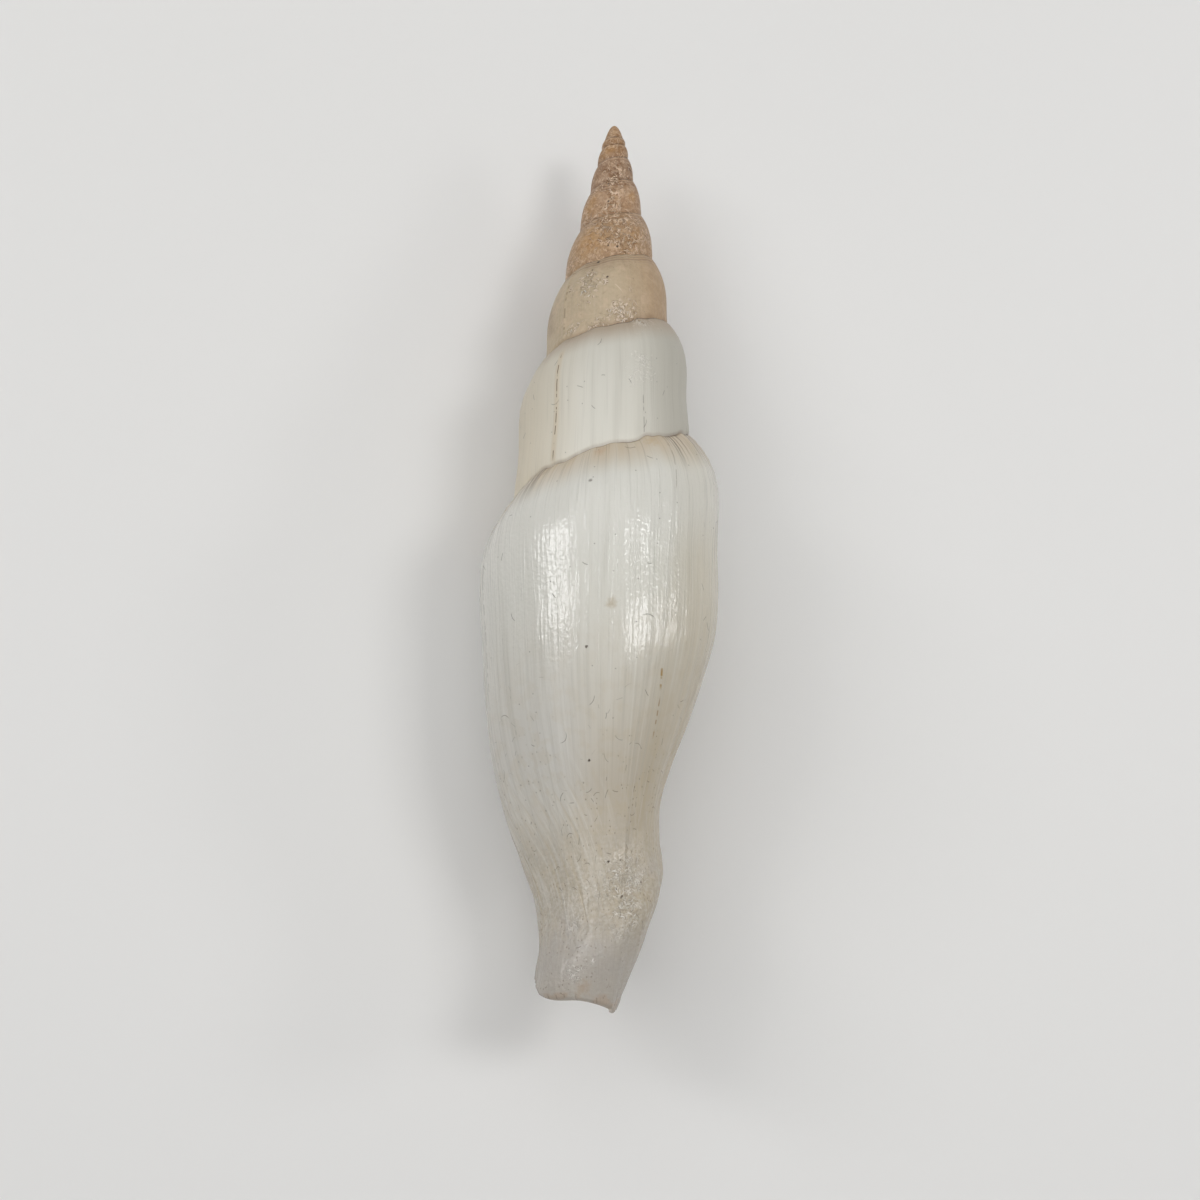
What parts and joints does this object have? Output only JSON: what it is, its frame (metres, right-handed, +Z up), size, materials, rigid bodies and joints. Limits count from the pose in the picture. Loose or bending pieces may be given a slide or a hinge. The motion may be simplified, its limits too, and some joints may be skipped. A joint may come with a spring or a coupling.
{
  "type": "miter shell",
  "caption": "Slender spindle-shaped white sea snail shell with a tall brown-tipped spire, lying on its open side as an ornament or specimen.",
  "frame": {"origin": "centre of the shell's outer box at the level that it rests on", "axes": "+Y along the shell towards the pointed top of the spire, +Z up, away from the open side that it lies on, +X to the right when seen from above with the spire pointing away"},
  "size_m": [0.028, 0.1102, 0.0263],
  "materials": {
    "shell_white": "glossy white glaze on the last two whorls, worn dull tan and orange-brown towards the tip of the spire, with fine growth lines"
  },
  "bodies": {
    "root": {"shell": "shell_white"}
  },
  "joints": []
}
